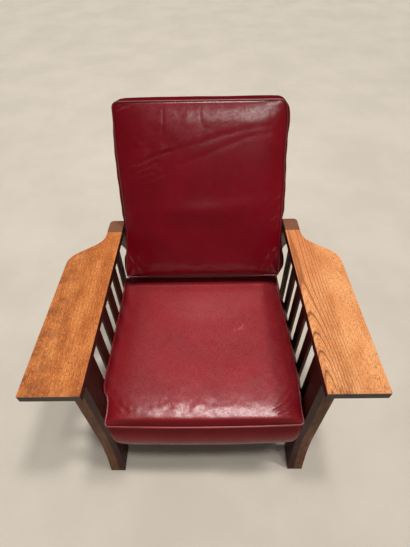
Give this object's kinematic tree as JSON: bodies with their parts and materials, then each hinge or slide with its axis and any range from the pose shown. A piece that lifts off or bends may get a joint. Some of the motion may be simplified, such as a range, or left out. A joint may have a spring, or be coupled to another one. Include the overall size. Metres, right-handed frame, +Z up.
{
  "type": "reclining armchair",
  "caption": "Slatted oak armchair with broad sloping arms, loose leather seat and back cushions and a hinged back frame held by a rod in notches.",
  "frame": {"origin": "on the floor, under the middle of the whole chair's bounding box, with the back at its lowest setting", "axes": "+X across the chair to its right-hand arm as seen from the front, +Y from the front towards the back, +Z up"},
  "size_m": [0.869, 0.9228, 0.9594],
  "materials": {
    "oak_arm": "satin, golden brown",
    "oak_dark": "satin, dark brown",
    "oak_plain": "matt",
    "leather": "smooth, soft sheen",
    "leather_welt": "smooth, soft sheen",
    "stuffing": "matt",
    "steel": "brushed"
  },
  "bodies": {
    "chair_frame": {"left_arm": "oak_arm", "right_arm": "oak_arm", "left_front_leg": "oak_dark", "left_rear_leg": "oak_dark", "left_top_rail": "oak_dark", "left_seat_rail": "oak_dark", "right_front_leg": "oak_dark", "right_rear_leg": "oak_dark", "right_top_rail": "oak_dark", "right_seat_rail": "oak_dark", "left_side_slat_1": "oak_dark", "left_side_slat_2": "oak_dark", "left_side_slat_3": "oak_dark", "left_side_slat_4": "oak_dark", "left_side_slat_5": "oak_dark", "left_side_slat_6": "oak_dark", "right_side_slat_1": "oak_dark", "right_side_slat_2": "oak_dark", "right_side_slat_3": "oak_dark", "right_side_slat_4": "oak_dark", "right_side_slat_5": "oak_dark", "right_side_slat_6": "oak_dark", "front_rail": "oak_dark", "cross_rail": "oak_dark", "rear_stretcher": "oak_dark", "seat_board_1": "oak_plain", "seat_board_2": "oak_plain", "seat_board_3": "oak_plain", "seat_board_4": "oak_plain", "seat_board_5": "oak_plain", "left_seat_cleat": "oak_plain", "right_seat_cleat": "oak_plain", "left_pivot_block": "oak_dark", "right_pivot_block": "oak_dark", "cleat_screws": "steel", "foot_glides": "steel", "pivot_bolts": "steel", "pivot_nuts": "steel", "pivot_washers": "steel", "seat_cover": "leather", "seat_top_welt": "leather_welt", "seat_low_welt": "leather_welt", "seat_filling": "stuffing"},
    "back_rest": {"left_back_stile": "oak_dark", "right_back_stile": "oak_dark", "crest_rail": "oak_dark", "low_back_rail": "oak_dark", "back_slat_1": "oak_dark", "back_slat_2": "oak_dark", "back_slat_3": "oak_dark", "back_slat_4": "oak_dark", "back_slat_5": "oak_dark", "back_cover": "leather", "back_filling": "stuffing", "back_top_welt": "leather_welt", "back_low_welt": "leather_welt"},
    "rod": {"support_rod": "oak_dark", "left_rod_cap": "oak_dark", "right_rod_cap": "oak_dark"}
  },
  "joints": [
    {"name": "back_recline", "type": "hinge", "parent": "chair_frame", "child": "back_rest", "pos_m": [0, 0.08061, 0.188], "axis": [1, 0, 0], "range_deg": [0, 11]},
    {"name": "rod_lift", "type": "slide", "parent": "chair_frame", "child": "rod", "axis": [0, 0.4633, 0.8862], "range_m": [0, 0.03]}
  ]
}
